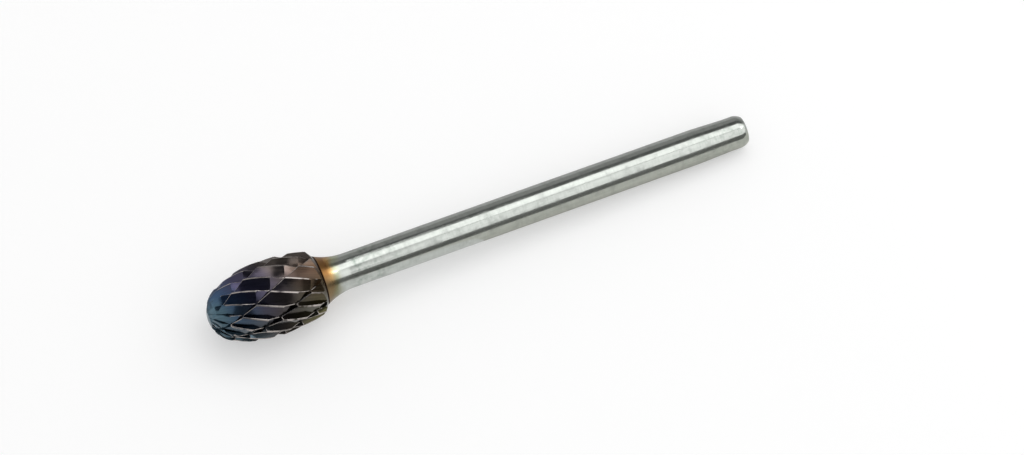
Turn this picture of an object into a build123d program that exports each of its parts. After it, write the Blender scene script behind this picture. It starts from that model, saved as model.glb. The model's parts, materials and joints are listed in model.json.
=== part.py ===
"""Double-cut carbide burr with an oval head, lying on its side as it comes to rest.

A carbide head is brazed to a hardened steel shank. Every piece is described about
the burr's own axis, with station 0 at the pole of the head and stations counted
towards the shank, and is made on one plane that lays that axis down at rest.
Lengths are in millimetres and angles in degrees.
"""

from build123d import *
from math import acos, asin, atan2, cos, degrees, hypot, pi, radians, sin, tan
import os

os.makedirs("parts", exist_ok=True)

# Carbide head: an egg with a round tip, a full belly and a chamfered back.
HEAD_DIAMETER = 6.4
HEAD_LENGTH = 9.8
TIP_RADIUS = 2.55
BELLY_STATION = 5.3
BACK_ARC_RADIUS = 18.0
BACK_CHAMFER_LENGTH = 0.5

# Main cut: right-hand saw teeth, each with a narrow land, a steep face and a long flank.
FLUTES = 15
FLUTE_HELIX = 22.0
FLUTE_DEPTH = 0.36
FLUTE_PHASE = 16.2
LAND_WIDTH = 0.15
FACE_LEAN = 12.0

# Cross cut: left-hand chip grooves, each with a steep wall and a shallow wall.
GROOVES = 7
GROOVE_HELIX = 25.4
GROOVE_DEPTH = 0.38
GROOVE_PHASE = 13.7
GROOVE_STEEP_WIDTH = 0.12
GROOVE_SHALLOW_WIDTH = 0.85

# Both cuts start beside the pole and deepen as the egg grows wider.
CUT_START = 0.7
CUT_GROWTH = 1.5
CUT_SECTIONS = 12
CUT_RUN_OUT = 0.4
# The wheel's walls are carried past the egg, to this many times their cut length.
WALL_OVERRUN = 2.0

# Brazing film between the head and the neck, with a rim that stands slightly proud.
BRAZE_THICKNESS = 0.08
BRAZE_BULGE = 0.03

# Steel shank: flared neck, ground cylinder, lead-in cone, straight tail, rounded end edge.
NECK_DIAMETER = 4.15
NECK_RADIUS = 5.5
SHANK_DIAMETER = 3.0
SHANK_LENGTH = 38.5
LEAD_DIAMETER = 2.8
LEAD_LENGTH = 2.95
TAIL_LENGTH = 1.65
END_FACE_DIAMETER = 2.34
END_ROUND_RADIUS = 1.2

HEAD_RADIUS = HEAD_DIAMETER / 2
NECK_END_RADIUS = NECK_DIAMETER / 2
SHANK_RADIUS = SHANK_DIAMETER / 2
LEAD_RADIUS = LEAD_DIAMETER / 2
END_FACE_RADIUS = END_FACE_DIAMETER / 2

# Stations along the axis.
NECK_STATION = HEAD_LENGTH + BRAZE_THICKNESS
END_STATION = NECK_STATION + SHANK_LENGTH
TAIL_STATION = END_STATION - TAIL_LENGTH
LEAD_STATION = TAIL_STATION - LEAD_LENGTH
END_ROUND_DROP = LEAD_RADIUS - END_FACE_RADIUS
END_ROUND_ANGLE = degrees(acos(1 - END_ROUND_DROP / END_ROUND_RADIUS))
END_EDGE_STATION = END_STATION - END_ROUND_RADIUS * sin(radians(END_ROUND_ANGLE))

# The front arc touches the round tip and the belly, which fixes its radius.
FRONT_RUN = BELLY_STATION - TIP_RADIUS
FRONT_ARC_RADIUS = (FRONT_RUN**2 + HEAD_RADIUS**2 - TIP_RADIUS**2) / (2 * (HEAD_RADIUS - TIP_RADIUS))
TIP_ANGLE = degrees(atan2(FRONT_ARC_RADIUS - HEAD_RADIUS, FRONT_RUN))
BACK_ANGLE = degrees(asin((HEAD_LENGTH - BACK_CHAMFER_LENGTH - BELLY_STATION) / BACK_ARC_RADIUS))

# At rest the egg's back arc and the rounded end edge both touch the ground.
BACK_CENTRE_RADIUS = HEAD_RADIUS - BACK_ARC_RADIUS
END_CENTRE_RADIUS = LEAD_RADIUS - END_ROUND_RADIUS
REST_RUN = END_EDGE_STATION - BELLY_STATION
REST_RISE = END_CENTRE_RADIUS - BACK_CENTRE_RADIUS
REST_DROP = BACK_ARC_RADIUS - END_ROUND_RADIUS
REST_TILT = degrees(asin(REST_DROP / hypot(REST_RUN, REST_RISE)) - atan2(REST_RISE, REST_RUN))
SLOPE = sin(radians(REST_TILT))
LEVEL = cos(radians(REST_TILT))
POLE_HEIGHT = END_EDGE_STATION * SLOPE + END_CENTRE_RADIUS * LEVEL + END_ROUND_RADIUS
TIP_REACH = TIP_RADIUS * (1 - LEVEL)
END_REACH = END_STATION * LEVEL + END_FACE_RADIUS * SLOPE

# The burr's plane has its origin at the pole, its Z along the axis and its X upwards.
burr_plane = Plane(
    origin=((TIP_REACH - END_REACH) / 2, 0, POLE_HEIGHT),
    x_dir=(SLOPE, 0, LEVEL),
    z_dir=(LEVEL, 0, -SLOPE),
)
burr_axis = Axis(burr_plane.origin, burr_plane.z_dir)
# Outlines are drawn with X as the radius and Y as the station.
outline_plane = Plane(burr_plane.origin, burr_plane.x_dir, burr_plane.x_dir.cross(burr_plane.z_dir))

# Distances along the egg's surface from the pole to the ends of its arcs.
TIP_TRAVEL = TIP_RADIUS * radians(TIP_ANGLE)
BELLY_TRAVEL = TIP_TRAVEL + FRONT_ARC_RADIUS * radians(90 - TIP_ANGLE)
RUN_OUT_STATION = HEAD_LENGTH + CUT_RUN_OUT
CUT_END = BELLY_TRAVEL + BACK_ARC_RADIUS * asin((RUN_OUT_STATION - BELLY_STATION) / BACK_ARC_RADIUS)


def egg_point(travel, height=0.0):
    """Radius and station of a point at a height above the egg, some way from the pole."""
    if travel < TIP_TRAVEL:
        lean = travel / TIP_RADIUS
        arc, radius, station = TIP_RADIUS, 0.0, TIP_RADIUS
    elif travel < BELLY_TRAVEL:
        lean = radians(TIP_ANGLE) + (travel - TIP_TRAVEL) / FRONT_ARC_RADIUS
        arc, radius, station = FRONT_ARC_RADIUS, HEAD_RADIUS - FRONT_ARC_RADIUS, BELLY_STATION
    else:
        lean = pi / 2 + (travel - BELLY_TRAVEL) / BACK_ARC_RADIUS
        arc, radius, station = BACK_ARC_RADIUS, BACK_CENTRE_RADIUS, BELLY_STATION
    return radius + (arc + height) * sin(lean), station - (arc + height) * cos(lean)


def head_point(travel, turn, height=0.0):
    """The same point at an angle about the axis."""
    radius, station = egg_point(travel, height)
    return Vector(radius * cos(radians(turn)), radius * sin(radians(turn)), station)


def helix_turn(travel, helix, steps=40):
    """Angle that a cut of constant helix has turned between the belly and a travel."""
    step = (travel - BELLY_TRAVEL) / steps
    middles = [BELLY_TRAVEL + (index + 0.5) * step for index in range(steps)]
    return degrees(sum(tan(radians(helix)) * step / egg_point(middle)[0] for middle in middles))


def ground_cut(helix, phase, depth, steep_turn, shallow_turn):
    """Wedge that one pass of the grinding wheel removes, standing about the Z axis.

    Each section is a triangle: its root lies below the egg, its two walls meet
    the egg at the steep and shallow angles, and they run on past it.
    """
    with BuildPart() as cut:
        for index in range(CUT_SECTIONS):
            travel = CUT_START + (CUT_END - CUT_START) * index / (CUT_SECTIONS - 1)
            turn = phase + helix_turn(travel, helix)
            growth = (egg_point(travel)[0] / HEAD_RADIUS) ** CUT_GROWTH
            root = head_point(travel, turn, -depth * growth)
            steep_wall = head_point(travel, turn + steep_turn) - root
            shallow_wall = head_point(travel, turn - shallow_turn) - root
            wheel_plane = Plane(root, steep_wall, steep_wall.cross(shallow_wall))
            steep_top = wheel_plane.to_local_coords(root + steep_wall * WALL_OVERRUN)
            shallow_top = wheel_plane.to_local_coords(root + shallow_wall * WALL_OVERRUN)
            with BuildSketch(wheel_plane):
                with BuildLine():
                    Polyline((0, 0), (steep_top.X, steep_top.Y), (shallow_top.X, shallow_top.Y), close=True)
                make_face()
        loft()
    return cut.part


# The root of a flute stands off its crest by the lean of the cutting face.
face_turn = degrees(FLUTE_DEPTH * tan(radians(FACE_LEAN)) / HEAD_RADIUS)
land_turn = degrees(LAND_WIDTH / HEAD_RADIUS)
flute = ground_cut(
    FLUTE_HELIX, FLUTE_PHASE - face_turn, FLUTE_DEPTH, face_turn, 360 / FLUTES - land_turn - face_turn
)
groove = ground_cut(
    -GROOVE_HELIX,
    GROOVE_PHASE,
    GROOVE_DEPTH,
    degrees(GROOVE_STEEP_WIDTH / HEAD_RADIUS),
    degrees(GROOVE_SHALLOW_WIDTH / HEAD_RADIUS),
)

with BuildPart(burr_plane) as carbide_head:
    with BuildSketch(outline_plane):
        with BuildLine():
            tip = JernArc((0, 0), (1, 0), TIP_RADIUS, TIP_ANGLE)
            front = JernArc(tip @ 1, tip % 1, FRONT_ARC_RADIUS, 90 - TIP_ANGLE)
            back = JernArc(front @ 1, front % 1, BACK_ARC_RADIUS, BACK_ANGLE)
            Polyline(back @ 1, (NECK_END_RADIUS, HEAD_LENGTH), (0, HEAD_LENGTH), (0, 0))
        make_face()
    revolve(axis=burr_axis)
    with PolarLocations(0, FLUTES):
        add(flute, mode=Mode.SUBTRACT)
    with PolarLocations(0, GROOVES):
        add(groove, mode=Mode.SUBTRACT)

with BuildPart(burr_plane) as braze_film:
    with BuildSketch(outline_plane):
        with BuildLine():
            rim = SagittaArc((NECK_END_RADIUS, HEAD_LENGTH), (NECK_END_RADIUS, NECK_STATION), -BRAZE_BULGE)
            Polyline(rim @ 1, (0, NECK_STATION), (0, HEAD_LENGTH), rim @ 0)
        make_face()
    revolve(axis=burr_axis)

with BuildPart(burr_plane) as steel_shank:
    neck_angle = degrees(acos(1 - (NECK_END_RADIUS - SHANK_RADIUS) / NECK_RADIUS))
    neck_foot = NECK_STATION + NECK_RADIUS * sin(radians(neck_angle))
    with BuildSketch(outline_plane):
        with BuildLine():
            neck = JernArc((SHANK_RADIUS, neck_foot), (0, -1), NECK_RADIUS, neck_angle)
            Polyline(neck @ 1, (0, NECK_STATION), (0, END_STATION), (END_FACE_RADIUS, END_STATION))
            edge = JernArc((LEAD_RADIUS, END_EDGE_STATION), (0, 1), END_ROUND_RADIUS, END_ROUND_ANGLE)
            Polyline(edge @ 0, (LEAD_RADIUS, TAIL_STATION), (SHANK_RADIUS, LEAD_STATION), neck @ 0)
        make_face()
    revolve(axis=burr_axis)

carbide_head.part.label = "carbide_head"
braze_film.part.label = "braze_film"
steel_shank.part.label = "steel_shank"

export_step(carbide_head.part, "parts/carbide_head.step")
export_step(braze_film.part, "parts/braze_film.step")
export_step(steel_shank.part, "parts/steel_shank.step")
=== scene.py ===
"""Looks of a double-cut carbide burr: heat-tinted teeth, dark brazed joint, ground steel shank.

Everything is in metres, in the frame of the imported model. The burr's own axis runs
from the pole of its head to the end of its shank and drops a little on the way,
so its pieces are spun about Z and then laid down on that axis.
"""

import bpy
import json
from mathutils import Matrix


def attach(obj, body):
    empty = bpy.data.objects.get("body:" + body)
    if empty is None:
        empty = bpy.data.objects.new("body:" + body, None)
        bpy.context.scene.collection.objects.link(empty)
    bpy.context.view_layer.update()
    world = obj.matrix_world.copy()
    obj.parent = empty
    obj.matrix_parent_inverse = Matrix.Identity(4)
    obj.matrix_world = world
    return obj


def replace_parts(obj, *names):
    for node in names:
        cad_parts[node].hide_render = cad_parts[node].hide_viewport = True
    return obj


bl_info = {
    "name": "Carbide Burr",
    "version": (1, 0, 0),
    "blender": (4, 5, 0),
    "location": "View3D > Sidebar > Burr",
    "description": "Finishes a double-cut carbide burr and lights it on a pale floor",
    "category": "Object",
}

import json
from math import acos, cos, hypot, pi, radians, sin, tan

import bmesh
import bpy
from mathutils import Matrix, Vector

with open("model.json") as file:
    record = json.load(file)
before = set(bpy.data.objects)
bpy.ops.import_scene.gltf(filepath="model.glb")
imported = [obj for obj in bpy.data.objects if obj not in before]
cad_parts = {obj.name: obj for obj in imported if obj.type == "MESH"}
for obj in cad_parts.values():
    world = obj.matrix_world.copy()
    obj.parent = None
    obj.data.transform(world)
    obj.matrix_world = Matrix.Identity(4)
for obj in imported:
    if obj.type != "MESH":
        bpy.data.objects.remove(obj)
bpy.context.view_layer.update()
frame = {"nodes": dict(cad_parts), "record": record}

MM = 0.001

# Crests that turn more than this are rubbed: rounded, and painted pale, partly as wear and partly as a
# painted glint.
CREST_ANGLE = radians(38)
# Ground faces that meet at less than this are shaded as one.
FLAT_ANGLE = radians(13)
# Turned faces that meet at more than this keep a sharp edge between them.
TURNED_ANGLE = radians(20)

# Segments of the spun pieces, and of the arcs in their outlines.
RIM_SEGMENTS = 128
SHANK_SEGMENTS = 160
FLARE_STEPS = 24
ROUND_STEPS = 12
# Spun points closer than this are one point.
POINT_GAP = 0.0001 * MM

# The gripped cylinder gives the burr's axis: its middle, its direction and its length.
GRIP = next(mount for mount in frame["record"]["mounts"] if mount["name"] == "shank")
GRIP_LENGTH = GRIP["dims"]["length_mm"] * MM


def srgb(code):
    """Linear colour of an sRGB hex value such as #8a6f3c, with its alpha."""
    shares = [int(code[place : place + 2], 16) / 255 for place in (1, 3, 5)]
    linear = [
        share / 12.92 if share <= 0.04045 else ((share + 0.055) / 1.055) ** 2.4 for share in shares
    ]
    return (*linear, 1.0)


def length_property(name, description, default):
    """A size that a user may change, kept in metres and given here in millimetres."""
    return bpy.props.FloatProperty(
        name=name, description=description, default=default * MM, min=0.0, precision=5, unit="LENGTH",
    )


def angle_property(name, description, default):
    """An angle that a user may change, kept in radians and given here in degrees."""
    return bpy.props.FloatProperty(
        name=name, description=description, default=radians(default), subtype="ANGLE",
    )


def colour_property(name, description, code):
    """A colour that a user may change."""
    return bpy.props.FloatVectorProperty(
        name=name, description=description, default=srgb(code)[:3], min=0.0, max=1.0, subtype="COLOR",
    )


class HeadSizes(bpy.types.PropertyGroup):
    """Egg of the carbide head, and the wear and painted glints on the teeth ground into it."""

    head_length: length_property("Head length", "From the pole of the head to its back face", 9.8)
    head_diameter: length_property("Head diameter", "Egg at its belly", 6.4)
    tip_radius: length_property("Tip radius", "Round tip of the egg", 2.55)
    belly_station: length_property("Belly station", "From the pole to the widest place", 5.3)
    back_arc_radius: length_property("Back arc radius", "Slow curve behind the belly", 18.0)
    flute_helix: angle_property("Flute helix", "Right-hand helix of the main cut", 22.0)
    weld: length_property("Weld distance", "Corners closer than this are one corner", 0.004)
    land_gap: length_property("Land gap", "Faces this close to the egg are lands", 0.012)
    edge_wear: length_property("Edge wear", "Width of the rubbed edges of the teeth", 0.06)
    wear_and_glint_start: length_property("Wear start", "From the pole to the first rubbed edge", 1.3)
    wear_and_glint_end: length_property("Wear end", "From the pole to the last rubbed edge", 9.35)


class ShankSizes(bpy.types.PropertyGroup):
    """Sizes of the brazed joint and the turned shank."""

    braze_thickness: length_property("Braze thickness", "Film between the head and the neck", 0.08)
    braze_bulge: length_property("Braze bulge", "How far the film's rim stands proud", 0.03)
    neck_diameter: length_property("Neck diameter", "Shank where it meets the head", 4.15)
    neck_radius: length_property("Neck radius", "Hollow flare from the neck to the cylinder", 5.5)
    shank_diameter: length_property("Shank diameter", "Ground cylinder that a collet grips", 3.0)
    shank_length: length_property("Shank length", "From the neck to the end face", 38.5)
    lead_diameter: length_property("Lead diameter", "Straight tail at the shank's end", 2.8)
    lead_length: length_property("Lead length", "Cone between the cylinder and the tail", 2.95)
    tail_length: length_property("Tail length", "Tail and rounded edge behind the cone", 1.65)
    end_face_diameter: length_property("End face diameter", "Flat face at the end", 2.34)
    end_round_radius: length_property("End round radius", "Rounding of the end's edge", 1.2)


class BurrColours(bpy.types.PropertyGroup):
    # Some of these colours hold painted highlight and painted shade, as noted at each.
    """Colours of the bare and the heat-tinted metals."""

    tip_tint: colour_property("Tip tint", "Teal film on the hottest carbide", "#546e7b")
    front_tint: colour_property("Front tint", "Blue film behind the tip", "#3f5571")
    violet_tint: colour_property("Violet tint", "Violet film in front of the belly", "#413f54")
    belly_tint: colour_property("Belly tint", "Plum film at the belly", "#4c4545")
    back_tint: colour_property("Back tint", "Brown film beside the joint", "#5c4839")
    # Painted highlight: the far back is lighter and greyer than the brown beside it, standing in for the
    # overhead light it mirrors.
    far_back_painted_highlight: colour_property("Far back tint", "Grey film on the far side of the back", "#665e59")
    # The low tints are darker than those above them: partly painted shade.
    low_front_tint_and_shade: colour_property("Low front tint", "Grey-teal film low on the near side", "#364249")
    low_belly_tint_and_shade: colour_property("Low belly tint", "Grey film low at the belly", "#3c3837")
    low_back_tint_and_shade: colour_property("Low back tint", "Olive film low beside the joint", "#464430")
    # Pale rubbed carbide: partly wear, partly a painted highlight for the glints of lands and edges.
    rubbed: colour_property("Rubbed carbide", "Lands and edges with the film rubbed off", "#ada6a2")
    steel: colour_property("Ground steel", "Bare hardened steel", "#b7bbb6")
    neck_brown: colour_property("Neck brown", "Hottest steel beside the joint", "#946b3f")
    neck_gold: colour_property("Neck gold", "Orange and gold film on the neck", "#b8925c")
    neck_straw: colour_property("Neck straw", "Pale green straw film", "#b3b79c")
    neck_grey: colour_property("Neck grey", "Dull brown film on the side that cooled first", "#7f6c4f")
    neck_olive: colour_property("Neck olive", "Olive end of the dull film", "#7f7d62")
    scale_grey: colour_property("Scale grey", "Flecks of thin grey-green scale", "#8a948c")
    braze: colour_property("Braze", "Burnt film of silver brass", "#3a2719")


class BurrStage(bpy.types.PropertyGroup):
    """Camera, floor and lights."""

    camera_azimuth: angle_property("Camera azimuth", "Turn about the vertical, 0 looks along +Y", -23.217)
    camera_elevation: angle_property("Camera elevation", "Height above the horizon", 62.202)
    camera_distance: length_property("Camera distance", "From the camera to its target", 285.98)
    camera_target: bpy.props.FloatVectorProperty(
        name="Camera target", description="Point in the middle of the view",
        default=(2.305 * MM, -1.204 * MM, 2.0 * MM), precision=5, subtype="TRANSLATION",
    )
    lens: bpy.props.FloatProperty(
        name="Lens", description="Focal length on a 36 mm sensor", default=120.65, unit="CAMERA",
    )
    floor_colour: colour_property("Floor", "Plain pale floor", "#dcdcdc")
    floor_lift: bpy.props.FloatProperty(
        name="Floor lift", description="Brightness added where the floor is seen", default=0.33, min=0.0,
    )
    room_strength: bpy.props.FloatProperty(
        name="Room", description="Brightness of the room round the burr", default=0.82, min=0.0,
    )


def neck_angle(sizes):
    """Angle through which the neck's hollow flare turns."""
    return acos(1 - (sizes.neck_diameter - sizes.shank_diameter) / 2 / sizes.neck_radius)


def neck_foot(head, sizes):
    """Distance from the pole to the foot of the neck's flare."""
    return head.head_length + sizes.braze_thickness + sizes.neck_radius * sin(neck_angle(sizes))


def burr_matrix(scene):
    """Matrix that lays a piece spun about Z, with the pole at the origin, on the burr's axis."""
    direction = Vector(GRIP["axis"])
    grip_middle = neck_foot(scene.head_sizes, scene.shank_sizes) + GRIP_LENGTH / 2
    pole = Vector(GRIP["pos_m"]) - direction * grip_middle
    up = Vector((-direction.z, 0, direction.x))
    side = direction.cross(up)
    return Matrix.Translation(pole) @ Matrix((up, side, direction)).transposed().to_4x4()


def egg_gap(head, place):
    """Depth of a point below the egg, with Z along the axis from the pole."""
    radius = hypot(place.x, place.y)
    widest = head.head_diameter / 2
    run = head.belly_station - head.tip_radius
    front_arc = (run**2 + widest**2 - head.tip_radius**2) / (2 * (widest - head.tip_radius))
    tip_drop = head.tip_radius - place.z
    if tip_drop * run > radius * (front_arc - widest):
        return head.tip_radius - hypot(radius, tip_drop)
    arc_radius = front_arc if place.z < head.belly_station else head.back_arc_radius
    return arc_radius - hypot(radius - widest + arc_radius, place.z - head.belly_station)


def arc(centre, radius, start, end, steps):
    """Points on an arc in the plane of radius and station, with angles from the radius direction."""
    angles = [start + (end - start) * step / steps for step in range(steps + 1)]
    return [(centre[0] + radius * cos(angle), centre[1] + radius * sin(angle)) for angle in angles]


def spun_mesh(name, outline, segments, matrix, material):
    """Mesh of an outline of radius and station points, spun round the axis and laid in place."""
    mesh = bpy.data.meshes.new(name)
    shape = bmesh.new()
    points = [shape.verts.new((radius, 0, station)) for radius, station in outline]
    edges = [shape.edges.new(pair) for pair in zip(points, points[1:])]
    bmesh.ops.spin(
        shape, geom=points + edges, axis=(0, 0, 1), cent=(0, 0, 0), angle=2 * pi, steps=segments,
        use_merge=True,
    )
    bmesh.ops.remove_doubles(shape, verts=shape.verts, dist=POINT_GAP)
    bmesh.ops.transform(shape, matrix=matrix, verts=shape.verts)
    bmesh.ops.recalc_face_normals(shape, faces=shape.faces)
    for face in shape.faces:
        face.smooth = True
    mesh.materials.append(material)
    shape.to_mesh(mesh)
    shape.free()
    return mesh


def placed(name, mesh):
    """Object of a finished piece: it rides on the one body."""
    piece = bpy.data.objects.new(name, mesh)
    bpy.context.scene.collection.objects.link(piece)
    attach(piece, "root")
    return piece


def add(tree, kind, inputs=None, stops=None, **settings):
    """Add a node: inputs are constants, sockets or nodes' first outputs, stops fill a colour ramp."""
    made = tree.nodes.new(kind)
    for name, value in settings.items():
        setattr(made, name, value)
    for socket, value in (inputs or {}).items():
        if isinstance(value, bpy.types.Node):
            tree.links.new(value.outputs[0], made.inputs[socket])
        elif isinstance(value, bpy.types.NodeSocket):
            tree.links.new(value, made.inputs[socket])
        else:
            made.inputs[socket].default_value = value
    if stops:
        elements = made.color_ramp.elements
        while len(elements) < len(stops):
            elements.new(1.0)
        for element, (place, colour) in zip(elements, stops):
            element.position = place
            element.color = colour
    return made


def blank(collection, name):
    """New material or world, and its empty node tree."""
    made = collection.new(name)
    made.use_nodes = True
    made.node_tree.nodes.clear()
    return made, made.node_tree


def metal(name):
    """New material of a metal, its node tree and its shader."""
    material, tree = blank(bpy.data.materials, name)
    shader = add(tree, "ShaderNodeBsdfPrincipled", {"Metallic": 1.0})
    add(tree, "ShaderNodeOutputMaterial", {"Surface": shader.outputs["BSDF"]})
    return material, tree, shader


def axis_coordinates(tree, matrix):
    """Object coordinates turned onto the burr: X up, Y to the near side, Z along from the pole."""
    inverse = matrix.inverted()
    own = add(tree, "ShaderNodeTexCoord")
    place = {
        "Vector": own.outputs["Object"],
        "Location": inverse.to_translation(),
        "Rotation": inverse.to_euler(),
    }
    return add(tree, "ShaderNodeMapping", place)


def tints(table, colours):
    """Stops of a colour ramp, from a table of places and of the colours there."""
    return [(place, (*getattr(colours, name), 1)) for place, name in table]


# Colour sockets of a Mix node, which share their names with its other sockets.
MIX_FIRST = 6
MIX_SECOND = 7
MIX_RESULT = 2

# A noise texture's values lie mostly between these.
NOISE_LOW = 0.3
NOISE_HIGH = 0.7

# Film on the head, by share of the head's length from the pole.
HEAD_TINTS = (
    (0.04, "tip_tint"),
    (0.16, "front_tint"),
    (0.34, "violet_tint"),
    (0.68, "belly_tint"),
    (0.95, "back_tint"),
)
# Film low on the near side of the head, darker than above it: partly a duller film, partly painted shade.
LOW_TINTS_AND_SHADE = (
    (0.15, "low_front_tint_and_shade"),
    (0.45, "low_belly_tint_and_shade"),
    (0.8, "low_back_tint_and_shade"),
)
# The torch plays unevenly, so the bands wander by about a millimetre over 3 mm.
FILM_PATCH = 3.0 * MM
FILM_WANDER = 1.2 * MM
# Each millimetre to the near side counts as this many along the axis.
FILM_SLOPE = -0.35
# Where the painted highlight of the far side comes in: across the head, and by share of its length.
FAR_START = -0.2 * MM
FAR_END = -1.5 * MM
FAR_HIGHLIGHT_START = 0.55
FAR_HIGHLIGHT_END = 0.72
# Where the low film and its painted shade come in, across the head. Each millimetre up counts as this many
# to the near side.
LOW_LEAN = -0.6
LOW_START = -1.4 * MM
LOW_END = 2.4 * MM


def heat_film(tree, place, head, colours):
    """Colour of the oxide film on the head.

    Its bands lie one behind the other and wander. Behind the belly the far side is painted lighter and
    greyer, a painted highlight, and low on the near side and underneath they are duller and darker, partly
    painted shade, and olive beside the joint.
    """
    split = add(tree, "ShaderNodeSeparateXYZ", {0: place})
    drift = add(tree, "ShaderNodeTexNoise", {"Vector": place, "Scale": 1 / FILM_PATCH, "Detail": 2.0})
    shift = add(tree, "ShaderNodeMapRange", {0: drift, "To Min": -FILM_WANDER, "To Max": FILM_WANDER})
    # The far side was heated longer: there the bands lie nearer to the tip.
    sloped = {0: split.outputs["Y"], 1: FILM_SLOPE, 2: split.outputs["Z"]}
    slope = add(tree, "ShaderNodeMath", sloped, operation="MULTIPLY_ADD")
    station = add(tree, "ShaderNodeMath", {0: slope, 1: shift}, operation="ADD")
    share = add(tree, "ShaderNodeMath", {0: station, 1: head.head_length}, operation="DIVIDE")
    bands = add(tree, "ShaderNodeValToRGB", {0: share}, stops=tints(HEAD_TINTS, colours))
    # Behind the belly the far side is painted lighter and greyer: a painted highlight where its facets
    # mirror the overhead light.
    across = {0: split.outputs["Y"], "From Min": FAR_START, "From Max": FAR_END}
    far = add(tree, "ShaderNodeMapRange", across)
    back = add(tree, "ShaderNodeMapRange", {0: share, "From Min": FAR_HIGHLIGHT_START, "From Max": FAR_HIGHLIGHT_END})
    far_back_highlight_mask = add(tree, "ShaderNodeMath", {0: far, 1: back}, operation="MULTIPLY")
    highlighted_far_back = {0: far_back_highlight_mask, MIX_FIRST: bands, MIX_SECOND: (*colours.far_back_painted_highlight, 1)}
    upper = add(tree, "ShaderNodeMix", highlighted_far_back, data_type="RGBA").outputs[MIX_RESULT]
    # Low on the near side and underneath, the film is duller and darker: partly a duller film, partly
    # painted shade where these faces mirror the shaded floor beside the burr.
    low = add(tree, "ShaderNodeValToRGB", {0: share}, stops=tints(LOW_TINTS_AND_SHADE, colours))
    leaning = {0: split.outputs["X"], 1: LOW_LEAN, 2: split.outputs["Y"]}
    lower = add(tree, "ShaderNodeMath", leaning, operation="MULTIPLY_ADD")
    low_shade_mask = add(tree, "ShaderNodeMapRange", {0: lower, "From Min": LOW_START, "From Max": LOW_END})
    films = {0: low_shade_mask, MIX_FIRST: upper, MIX_SECOND: low}
    return add(tree, "ShaderNodeMix", films, data_type="RGBA").outputs[MIX_RESULT]


# A D46 diamond wheel leaves lines about 0.02 mm apart; 0.15 mm is the finest that shows.
WHEEL_LINE = 0.15 * MM
# Width of a line as a share of its length.
WHEEL_LINE_SHAPE = 0.06


def wheel_lines(tree, place, head):
    """Strength of the lines that the wheel leaves along the teeth, from 0 to 1."""
    split = add(tree, "ShaderNodeSeparateXYZ", {0: place})
    angle = add(tree, "ShaderNodeMath", {0: split.outputs["Y"], 1: split.outputs["X"]}, operation="ARCTAN2")
    around = add(tree, "ShaderNodeMath", {0: angle, 1: head.head_diameter / 2}, operation="MULTIPLY")
    lean = {0: split.outputs["Z"], 1: -tan(head.flute_helix), 2: around}
    across = add(tree, "ShaderNodeMath", lean, operation="MULTIPLY_ADD")
    slow = add(tree, "ShaderNodeMath", {0: split.outputs["Z"], 1: WHEEL_LINE_SHAPE}, operation="MULTIPLY")
    line = add(tree, "ShaderNodeCombineXYZ", {"X": across, "Y": slow})
    return add(tree, "ShaderNodeTexNoise", {"Vector": line, "Scale": 1 / WHEEL_LINE, "Detail": 2.0})


# How far the lines lighten and darken the carbide, how deep they are, and its roughness.
LINE_SHADE = 0.2
LINE_RELIEF = 0.002 * MM
CARBIDE_ROUGHNESS = 0.08
LINE_ROUGHNESS = 0.24


def tinted_carbide(head, colours, matrix):
    """Cemented tungsten carbide, ground by a diamond wheel and then heated by the brazing torch.

    The oxide film tints it from teal at the tip to brown at the back, and the ground
    faces stay glossy enough to mirror the lights as flat facets with faint lines.
    """
    material, tree, shader = metal("heat_tinted_tungsten_carbide")
    place = axis_coordinates(tree, matrix)
    film = heat_film(tree, place, head, colours)
    lines = wheel_lines(tree, place, head)
    faint = {
        0: lines,
        "From Min": NOISE_LOW,
        "From Max": NOISE_HIGH,
        "To Min": 1 - LINE_SHADE,
        "To Max": 1 + LINE_SHADE,
    }
    shade = add(tree, "ShaderNodeMapRange", faint)
    colour = add(tree, "ShaderNodeVectorMath", {0: film, "Scale": shade}, operation="SCALE")
    duller = {0: lines, "To Min": CARBIDE_ROUGHNESS, "To Max": LINE_ROUGHNESS}
    gloss = add(tree, "ShaderNodeMapRange", duller)
    relief = add(tree, "ShaderNodeBump", {"Strength": 0.5, "Distance": LINE_RELIEF, "Height": lines})
    tree.links.new(colour.outputs[0], shader.inputs["Base Color"])
    tree.links.new(gloss.outputs[0], shader.inputs["Roughness"])
    tree.links.new(relief.outputs[0], shader.inputs["Normal"])
    return material


# Handling rubs the film off in patches of about 0.7 mm, and the pale carbide there is also a painted
# highlight for the glints of lands and edges.
# Their noise starts to show bare carbide at one value and is all bare at the other.
RUBBED_GLINT_PATCH = 0.7 * MM
RUBBED_GLINT_START = 0.32
RUBBED_GLINT_END = 0.52
RUBBED_ROUGHNESS = 0.32


def rubbed_carbide_and_glint(head, colours, matrix):
    """The same carbide on the lands and cutting edges, where handling rubbed the film thin.

    It is paler and greyer than the faces, in broken lengths: partly wear, partly a painted highlight
    standing in for the glints of the lands and edges.
    """
    material, tree, shader = metal("rubbed_tungsten_carbide_and_painted_glint")
    place = axis_coordinates(tree, matrix)
    film = heat_film(tree, place, head, colours)
    patches = add(tree, "ShaderNodeTexNoise", {"Vector": place, "Scale": 1 / RUBBED_GLINT_PATCH, "Detail": 3.0})
    # The pale patches are partly wear and partly painted glint.
    spread = {0: patches, "From Min": RUBBED_GLINT_START, "From Max": RUBBED_GLINT_END}
    bare = add(tree, "ShaderNodeMapRange", spread)
    mixed = {0: bare, MIX_FIRST: film, MIX_SECOND: (*colours.rubbed, 1)}
    colour = add(tree, "ShaderNodeMix", mixed, data_type="RGBA")
    tree.links.new(colour.outputs[MIX_RESULT], shader.inputs["Base Color"])
    shader.inputs["Roughness"].default_value = RUBBED_ROUGHNESS
    return material


# The torch tints this much of the neck, counted from the joint.
NECK_REACH = 2.2 * MM
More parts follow.
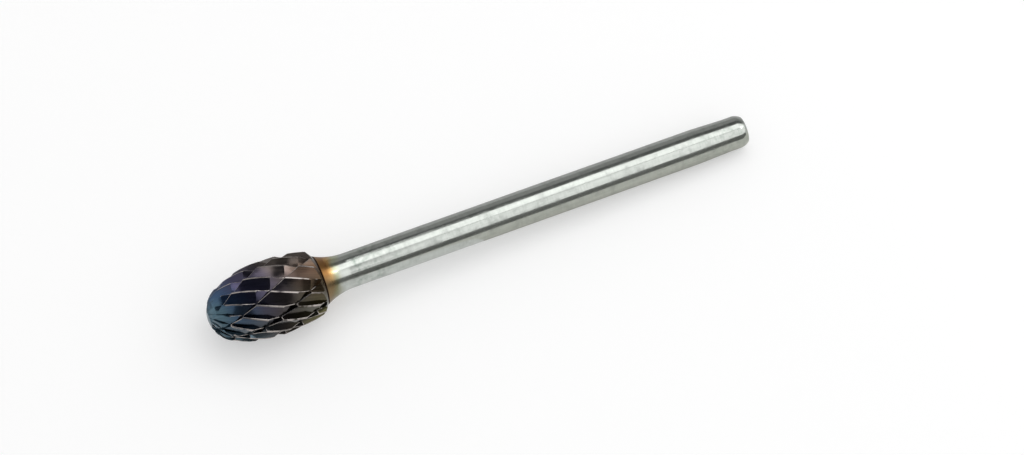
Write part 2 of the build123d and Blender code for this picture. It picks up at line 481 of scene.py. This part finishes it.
# Film on the neck, by share of that reach.
NECK_TINTS = (
    (0.18, "neck_brown"),
    (0.36, "neck_gold"),
    (0.58, "neck_straw"),
    (0.85, "steel"),
)
# Duller film on its near side.
DULL_NECK_TINTS = (
    (0.4, "neck_grey"),
    (0.62, "neck_olive"),
    (0.9, "steel"),
)
# The tints wander by half a millimetre either way over about 1 mm.
NECK_PATCH = 1.1 * MM
NECK_WANDER = 0.5 * MM
# Each millimetre to the near side counts as this many along the axis.
NECK_SLOPE = 0.22
# Where the duller film comes in, across the neck.
DULL_START = 0.5 * MM
DULL_END = 1.4 * MM


def neck_film(tree, place, head, colours):
    """Colour of the film on the neck, and how far along the heated neck a place is, from 0 to 1."""
    split = add(tree, "ShaderNodeSeparateXYZ", {0: place})
    drift = add(tree, "ShaderNodeTexNoise", {"Vector": place, "Scale": 1 / NECK_PATCH, "Detail": 4.0})
    shift = add(tree, "ShaderNodeMapRange", {0: drift, "To Min": -NECK_WANDER, "To Max": NECK_WANDER})
    # The far side was heated longer: there the tints reach further along the neck.
    sloped = {0: split.outputs["Y"], 1: NECK_SLOPE, 2: split.outputs["Z"]}
    slope = add(tree, "ShaderNodeMath", sloped, operation="MULTIPLY_ADD")
    station = add(tree, "ShaderNodeMath", {0: slope, 1: shift}, operation="ADD")
    heated = {0: station, "From Min": head.head_length, "From Max": head.head_length + NECK_REACH}
    share = add(tree, "ShaderNodeMapRange", heated)
    bright = add(tree, "ShaderNodeValToRGB", {0: share}, stops=tints(NECK_TINTS, colours))
    dull = add(tree, "ShaderNodeValToRGB", {0: share}, stops=tints(DULL_NECK_TINTS, colours))
    across = {0: split.outputs["Y"], "From Min": DULL_START, "From Max": DULL_END}
    near = add(tree, "ShaderNodeMapRange", across)
    film = add(tree, "ShaderNodeMix", {0: near, MIX_FIRST: bright, MIX_SECOND: dull}, data_type="RGBA")
    return film.outputs[MIX_RESULT], share


# Flecks of scale are about half a millimetre across. Their noise starts to show scale at
# one value and is all scale at the other.
SCALE_FLECK = 0.45 * MM
FLECK_START = 0.44
FLECK_END = 0.74
# How much of them shows, by share of the burr's length.
SCALE_SHARES = (
    (0.25, 0.0),
    (0.265, 1.0),
    (0.36, 0.2),
    (0.84, 0.1),
    (0.94, 0.45),
)


def scale_flecks(tree, place, length):
    """Strength of the flecks of thin scale, from 0 to 1, behind the neck and at the handled end."""
    split = add(tree, "ShaderNodeSeparateXYZ", {0: place})
    grain = add(tree, "ShaderNodeTexNoise", {"Vector": place, "Scale": 1 / SCALE_FLECK, "Detail": 6.0})
    fleck = add(tree, "ShaderNodeMapRange", {0: grain, "From Min": FLECK_START, "From Max": FLECK_END})
    along = add(tree, "ShaderNodeMath", {0: split.outputs["Z"], 1: length}, operation="DIVIDE")
    stops = [(station, (share, share, share, 1)) for station, share in SCALE_SHARES]
    ends = add(tree, "ShaderNodeValToRGB", {0: along}, stops=stops)
    return add(tree, "ShaderNodeMath", {0: fleck, 1: ends}, operation="MULTIPLY")


# Grinding rings are about 0.01 mm apart; 0.12 mm is the finest that shows. They are long
# round the axis and narrow along it, and lighten and darken the steel a little.
GRINDING_RING = 0.12 * MM
RING_STRETCH = (0.04, 0.04, 1.0)
RING_SHADE = 0.035
RING_RELIEF = 0.0006 * MM
# Sliding in and out of collets draws faint streaks along the cylinder.
COLLET_STREAK = 0.35 * MM
STREAK_STRETCH = (1.0, 1.0, 0.06)
STREAK_START = 0.35
STREAK_END = 0.65
STREAK_DARK = 0.93
STREAK_LIGHT = 1.04
# Smudges are a little under a millimetre across, and dull a wider patch than they darken.
SMUDGE = 0.8 * MM
SMUDGE_START = 0.52
SMUDGE_END = 0.72
SMUDGE_DARK = 0.86
DULL_PATCH_START = 0.4
DULL_PATCH_END = 0.75
# Roughness of the ground steel, of its smudges and of the oxide beside the joint.
STEEL_ROUGHNESS = 0.13
SMUDGE_ROUGHNESS = 0.26
OXIDE_ROUGHNESS = 0.34


def ground_steel(head, sizes, colours, matrix):
    """Hardened tool steel, centreless ground, with heat tints on its neck.

    Grinding leaves a bright grey with very fine rings and a few dull smudges, and collets
    draw faint streaks along it. The torch leaves brown beside the joint, then gold and
    pale straw, over about 2 mm, and thin grey-green scale flecks the steel behind them.
    """
    material, tree, shader = metal("centreless_ground_tool_steel")
    place = axis_coordinates(tree, matrix)
    film, heated = neck_film(tree, place, head, colours)
    flecks = scale_flecks(tree, place, head.head_length + sizes.shank_length)
    mixed = {0: flecks, MIX_FIRST: film, MIX_SECOND: (*colours.scale_grey, 1)}
    scaled = add(tree, "ShaderNodeMix", mixed, data_type="RGBA").outputs[MIX_RESULT]
    narrow = add(tree, "ShaderNodeMapping", {"Vector": place, "Scale": RING_STRETCH})
    rings = add(tree, "ShaderNodeTexNoise", {"Vector": narrow, "Scale": 1 / GRINDING_RING, "Detail": 2.0})
    smudges = add(tree, "ShaderNodeTexNoise", {"Vector": place, "Scale": 1 / SMUDGE, "Detail": 6.0})
    long = add(tree, "ShaderNodeMapping", {"Vector": place, "Scale": STREAK_STRETCH})
    streaks = add(tree, "ShaderNodeTexNoise", {"Vector": long, "Scale": 1 / COLLET_STREAK, "Detail": 3.0})
    ringed = {
        0: rings,
        "From Min": NOISE_LOW,
        "From Max": NOISE_HIGH,
        "To Min": 1 - RING_SHADE,
        "To Max": 1 + RING_SHADE,
    }
    smudged = {
        0: smudges,
        "From Min": SMUDGE_START,
        "From Max": SMUDGE_END,
        "To Min": 1.0,
        "To Max": SMUDGE_DARK,
    }
    streaked = {
        0: streaks,
        "From Min": STREAK_START,
        "From Max": STREAK_END,
        "To Min": STREAK_DARK,
        "To Max": STREAK_LIGHT,
    }
    shade = add(tree, "ShaderNodeMapRange", ringed)
    for marks in (smudged, streaked):
        shades = {0: shade, 1: add(tree, "ShaderNodeMapRange", marks)}
        shade = add(tree, "ShaderNodeMath", shades, operation="MULTIPLY")
    colour = add(tree, "ShaderNodeVectorMath", {0: scaled, "Scale": shade}, operation="SCALE")
    # Smudges and the oxide beside the joint are duller than the ground steel.
    dulled = {
        0: smudges,
        "From Min": DULL_PATCH_START,
        "From Max": DULL_PATCH_END,
        "To Min": STEEL_ROUGHNESS,
        "To Max": SMUDGE_ROUGHNESS,
    }
    oxide = {0: heated, "To Min": OXIDE_ROUGHNESS, "To Max": STEEL_ROUGHNESS}
    dullest = {0: add(tree, "ShaderNodeMapRange", dulled), 1: add(tree, "ShaderNodeMapRange", oxide)}
    gloss = add(tree, "ShaderNodeMath", dullest, operation="MAXIMUM")
    relief = add(tree, "ShaderNodeBump", {"Strength": 0.5, "Distance": RING_RELIEF, "Height": rings})
    tree.links.new(colour.outputs[0], shader.inputs["Base Color"])
    tree.links.new(gloss.outputs[0], shader.inputs["Roughness"])
    tree.links.new(relief.outputs[0], shader.inputs["Normal"])
    return material


# The burnt crust of flux is lumpy over about 0.3 mm.
CRUST_LUMP = 0.3 * MM
CRUST_SHADE = 0.4
CRUST_ROUGHNESS = 0.5


def burnt_braze(colours, matrix):
    """Silver-brass brazing alloy, flowed by the torch: its flux burns to a dark, dull crust."""
    material, tree, shader = metal("burnt_silver_brass_braze")
    place = axis_coordinates(tree, matrix)
    crust = add(tree, "ShaderNodeTexNoise", {"Vector": place, "Scale": 1 / CRUST_LUMP, "Detail": 3.0})
    lumpy = {0: crust, "To Min": 1 - CRUST_SHADE, "To Max": 1 + CRUST_SHADE}
    shade = add(tree, "ShaderNodeMapRange", lumpy)
    colour = add(tree, "ShaderNodeVectorMath", {0: tuple(colours.braze), "Scale": shade}, operation="SCALE")
    tree.links.new(colour.outputs[0], shader.inputs["Base Color"])
    shader.inputs["Roughness"].default_value = CRUST_ROUGHNESS
    return material


def seen_directly(tree):
    """1 for rays from the camera, from a mirror or through glass, and 0 for the rest."""
    path = add(tree, "ShaderNodeLightPath")
    mirrored = {0: path.outputs["Is Camera Ray"], 1: path.outputs["Is Glossy Ray"]}
    either = add(tree, "ShaderNodeMath", mirrored, operation="MAXIMUM")
    any_of = {0: either, 1: path.outputs["Is Transmission Ray"]}
    return add(tree, "ShaderNodeMath", any_of, operation="MAXIMUM")


def seamless_paper(stage):
    """White seamless paper: matt, and lifted to the backdrop's white where it is seen."""
    material, tree = blank(bpy.data.materials, "white_seamless_paper")
    paper = add(tree, "ShaderNodeBsdfDiffuse", {"Color": (*stage.floor_colour, 1)})
    lift = add(tree, "ShaderNodeMath", {0: seen_directly(tree), 1: stage.floor_lift}, operation="MULTIPLY")
    glow = add(tree, "ShaderNodeEmission", {"Strength": lift})
    both = add(tree, "ShaderNodeAddShader", {0: paper, 1: glow})
    add(tree, "ShaderNodeOutputMaterial", {"Surface": both})
    return material


def matt_card(code):
    """Matt card of one grey."""
    material, tree = blank(bpy.data.materials, "matt_grey_card")
    card = add(tree, "ShaderNodeBsdfDiffuse", {"Color": srgb(code)})
    add(tree, "ShaderNodeOutputMaterial", {"Surface": card})
    return material


class BURR_OT_head(bpy.types.Operator):
    """Finish the carbide head: rubbed lands and edges, painted pale as glints, on tinted, flat ground faces
    """

    bl_idname = "burr.head"
    bl_label = "Carbide head"

    def execute(self, context):
        head, colours = context.scene.head_sizes, context.scene.burr_colours
        matrix = burr_matrix(context.scene)
        shape = bmesh.new()
        shape.from_mesh(frame["nodes"]["carbide_head"].data)
        bmesh.ops.transform(shape, matrix=matrix.inverted(), verts=shape.verts)
        bmesh.ops.remove_doubles(shape, verts=shape.verts, dist=head.weld)
        bmesh.ops.dissolve_degenerate(shape, edges=shape.edges, dist=head.weld)
        # Lands take the rubbed carbide, whose pale colour is partly a painted glint.
        for face in shape.faces:
            behind_tip = all(vert.co.z > head.wear_and_glint_start for vert in face.verts)
            if behind_tip and all(egg_gap(head, vert.co) < head.land_gap for vert in face.verts):
                face.material_index = 1
        edges = [
            edge for edge in shape.edges
            if edge.is_manifold and edge.calc_face_angle_signed() > CREST_ANGLE
            and min(vert.co.z for vert in edge.verts) > head.wear_and_glint_start
            and max(vert.co.z for vert in edge.verts) < head.wear_and_glint_end
        ]
        rubbed = bmesh.ops.bevel(
            shape, geom=edges, offset=head.edge_wear, offset_type="WIDTH", affect="EDGES", segments=2,
            profile=0.5, material=-1, clamp_overlap=False, miter_outer="ARC", loop_slide=True,
        )
        # Rounded crests take the rubbed carbide too: partly wear, partly painted glint.
        worn_and_glinting = set(rubbed["faces"])
        for face in worn_and_glinting:
            face.material_index = 1
        # The ground faces stay flat: they join smoothly only to their like.
        for edge in shape.edges:
            sides = [face in worn_and_glinting for face in edge.link_faces]
            if len(sides) == 2:
                gentle = abs(edge.calc_face_angle_signed()) < FLAT_ANGLE
                edge.smooth = all(sides) or (not any(sides) and gentle)
        for face in shape.faces:
            face.smooth = True
        bmesh.ops.transform(shape, matrix=matrix, verts=shape.verts)
        mesh = bpy.data.meshes.new("ground_head")
        mesh.materials.append(tinted_carbide(head, colours, matrix))
        mesh.materials.append(rubbed_carbide_and_glint(head, colours, matrix))
        shape.to_mesh(mesh)
        shape.free()
        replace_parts(placed("ground_head", mesh), "carbide_head")
        return {"FINISHED"}


class BURR_OT_braze(bpy.types.Operator):
    """Spin the film of braze between the head and the neck"""

    bl_idname = "burr.braze"
    bl_label = "Brazed joint"

    def execute(self, context):
        head, sizes = context.scene.head_sizes, context.scene.shank_sizes
        colours = context.scene.burr_colours
        matrix = burr_matrix(context.scene)
        start = head.head_length
        end = start + sizes.braze_thickness
        rim = sizes.neck_diameter / 2
        middle = (start + end) / 2
        outline = [(0, start), (rim, start), (rim + sizes.braze_bulge, middle), (rim, end), (0, end)]
        mesh = spun_mesh("braze_rim", outline, RIM_SEGMENTS, matrix, burnt_braze(colours, matrix))
        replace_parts(placed("braze_rim", mesh), "braze_film")
        return {"FINISHED"}


class BURR_OT_shank(bpy.types.Operator):
    """Spin the flared neck, the ground cylinder and the rounded tail"""

    bl_idname = "burr.shank"
    bl_label = "Steel shank"

    def execute(self, context):
        head, sizes = context.scene.head_sizes, context.scene.shank_sizes
        colours = context.scene.burr_colours
        matrix = burr_matrix(context.scene)
        foot = neck_foot(head, sizes)
        start = head.head_length + sizes.braze_thickness
        end = start + sizes.shank_length
        tail = end - sizes.tail_length
        lead = tail - sizes.lead_length
        shank_radius = sizes.shank_diameter / 2
        lead_radius = sizes.lead_diameter / 2
        face_radius = sizes.end_face_diameter / 2
        flare_centre = (shank_radius + sizes.neck_radius, foot)
        flare = arc(flare_centre, sizes.neck_radius, pi + neck_angle(sizes), pi, FLARE_STEPS)
        drop = acos(1 - (lead_radius - face_radius) / sizes.end_round_radius)
        round_centre = (lead_radius - sizes.end_round_radius, end - sizes.end_round_radius * sin(drop))
        edge = arc(round_centre, sizes.end_round_radius, 0, drop, ROUND_STEPS)
        outline = [(0, start), *flare, (shank_radius, lead), (lead_radius, tail), *edge, (0, end)]
        steel = ground_steel(head, sizes, colours, matrix)
        mesh = spun_mesh("ground_shank", outline, SHANK_SEGMENTS, matrix, steel)
        mesh.set_sharp_from_angle(angle=TURNED_ANGLE)
        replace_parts(placed("ground_shank", mesh), "steel_shank")
        return {"FINISHED"}


# The floor's reach along X and along Y. All of the stage is in metres.
FLOOR_REACH = (-2.0, 2.0)
# Grey cards that only mirrored rays meet: reach along X, reach along Y, heights of the Y ends, grey.
FLAGS = (
    ("far_flag_low", (-0.1, 1.5), (0.6, 0.6), (0.0, 0.42), "#b4b4b4"),
    ("far_flag_high", (-0.1, 1.5), (0.6, 0.6), (0.42, 1.05), "#7b7b7b"),
    ("far_ground", (-0.05, 1.5), (0.003, 0.6), (0.0002, 0.0002), "#cccccc"),
    ("near_flag_low", (-0.9, 1.5), (-0.92, -0.92), (0.02, 0.36), "#828280"),
    ("near_flag_high", (-0.9, 1.5), (-0.92, -0.92), (0.36, 0.6), "#949492"),
    ("near_ground", (0.0, 1.5), (-0.9, -0.0008), (0.0002, 0.0002), "#efeee8"),
    ("tip_flag", (-0.9, 0.05), (-0.8, 0.15), (0.5, 0.5), "#727984"),
)
# Soft panels overhead: reach along X, reach along Y, height, brightness above the room's, and
# whether they light matt surfaces as well as mirrored rays.
PANELS = (
    ("far_panel", (0.055, 1.4), (-0.068, 0.256), 0.5, 0.9, True),
    ("near_panel", (0.12, 1.4), (-0.45, -0.1), 0.5, 0.56, True),
    ("near_panel_middle", (0.165, 1.4), (-0.62, -0.45), 0.5, 0.56, True),
    ("near_panel_edge", (0.197, 1.4), (-0.78, -0.62), 0.5, 0.56, True),
    ("back_panel", (0.085, 0.138), (0.29, 0.45), 0.5, 1.3, True),
    ("tip_panel", (-0.1, 0.03), (0.17, 0.38), 0.5, 1.3, True),
    ("key_panel", (0.35, 0.5), (-0.13, 0.02), 0.48, 2.4, False),
)


class BURR_OT_stage(bpy.types.Operator):
    """Lay the pale floor, set the lights and aim the camera"""

    bl_idname = "burr.stage"
    bl_label = "Floor, lights and camera"

    def execute(self, context):
        scene, stage = context.scene, context.scene.burr_stage
        aim_camera(scene, stage)
        sheet("floor", FLOOR_REACH, FLOOR_REACH, (0, 0), seamless_paper(stage))
        for name, across, along, heights, code in FLAGS:
            flag = sheet(name, across, along, heights, matt_card(code))
            flag.visible_camera = False
            flag.visible_diffuse = False
            flag.visible_shadow = False
        for name, across, along, height, radiance, lights_matt in PANELS:
            lamp = panel(name, across, along, height, radiance)
            lamp.visible_diffuse = lights_matt
        scene.world = pale_room(stage)
        scene.view_settings.view_transform = "Standard"
        return {"FINISHED"}


def aim_camera(scene, stage):
    """Camera on its line of sight through the target."""
    azimuth, elevation = stage.camera_azimuth, stage.camera_elevation
    back = Vector((sin(azimuth) * cos(elevation), -cos(azimuth) * cos(elevation), sin(elevation)))
    camera = bpy.data.objects.new("camera", bpy.data.cameras.new("camera"))
    camera.data.lens = stage.lens
    camera.data.sensor_width = 36.0
    camera.data.clip_start = 0.01
    camera.location = Vector(stage.camera_target) + back * stage.camera_distance
    camera.rotation_euler = (-back).to_track_quat("-Z", "Y").to_euler()
    scene.collection.objects.link(camera)
    scene.camera = camera


def sheet(name, across, along, heights, material):
    """Flat rectangle of the stage, with a height at each of its ends along Y."""
    corners = [(across[0], along[0], heights[0]), (across[1], along[0], heights[0])]
    corners += [(across[1], along[1], heights[1]), (across[0], along[1], heights[1])]
    mesh = bpy.data.meshes.new(name)
    shape = bmesh.new()
    shape.faces.new([shape.verts.new(corner) for corner in corners])
    mesh.materials.append(material)
    shape.to_mesh(mesh)
    shape.free()
    rectangle = bpy.data.objects.new(name, mesh)
    bpy.context.scene.collection.objects.link(rectangle)
    return rectangle


def panel(name, across, along, height, radiance):
    """Soft panel overhead, shining down with a given radiance."""
    light = bpy.data.lights.new(name, "AREA")
    light.shape = "RECTANGLE"
    light.size = across[1] - across[0]
    light.size_y = along[1] - along[0]
    # Blender spreads a panel's power so that its brightness is a quarter of the power by area.
    light.energy = radiance * 4 * light.size * light.size_y
    lamp = bpy.data.objects.new(name, light)
    lamp.location = (sum(across) / 2, sum(along) / 2, height)
    bpy.context.scene.collection.objects.link(lamp)
    return lamp


def pale_room(stage):
    """Pale room that fills the shadows and is the backdrop's white where it is seen."""
    world, tree = blank(bpy.data.worlds, "pale_room")
    levels = {0: seen_directly(tree), "To Min": stage.room_strength, "To Max": 1.0}
    strength = add(tree, "ShaderNodeMapRange", levels)
    room = add(tree, "ShaderNodeBackground", {"Strength": strength})
    add(tree, "ShaderNodeOutputWorld", {"Surface": room})
    return world


class BURR_PT_panel(bpy.types.Panel):
    """Sizes, colours and the steps that dress the burr"""

    bl_idname = "BURR_PT_panel"
    bl_label = "Carbide burr"
    bl_space_type = "VIEW_3D"
    bl_region_type = "UI"
    bl_category = "Burr"

    def draw(self, context):
        for name in GROUPS:
            group = getattr(context.scene, name)
            box = self.layout.box()
            for item in type(group).__annotations__:
                box.prop(group, item)
        for operator in STEPS:
            self.layout.operator(operator.bl_idname)


STEPS = (BURR_OT_head, BURR_OT_braze, BURR_OT_shank, BURR_OT_stage)
GROUPS = {
    "head_sizes": HeadSizes,
    "shank_sizes": ShankSizes,
    "burr_colours": BurrColours,
    "burr_stage": BurrStage,
}
CLASSES = (*GROUPS.values(), *STEPS, BURR_PT_panel)


def register():
    """Make the classes and the scene's property groups known to Blender."""
    for item in CLASSES:
        bpy.utils.register_class(item)
    for name, group in GROUPS.items():
        setattr(bpy.types.Scene, name, bpy.props.PointerProperty(type=group))


def unregister():
    """Take back what register did, in the other order."""
    for name in GROUPS:
        delattr(bpy.types.Scene, name)
    for item in reversed(CLASSES):
        bpy.utils.unregister_class(item)


def main():
    """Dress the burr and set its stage."""
    register()
    bpy.ops.burr.head()
    bpy.ops.burr.braze()
    bpy.ops.burr.shank()
    bpy.ops.burr.stage()


if __name__ == "__main__":
    main()
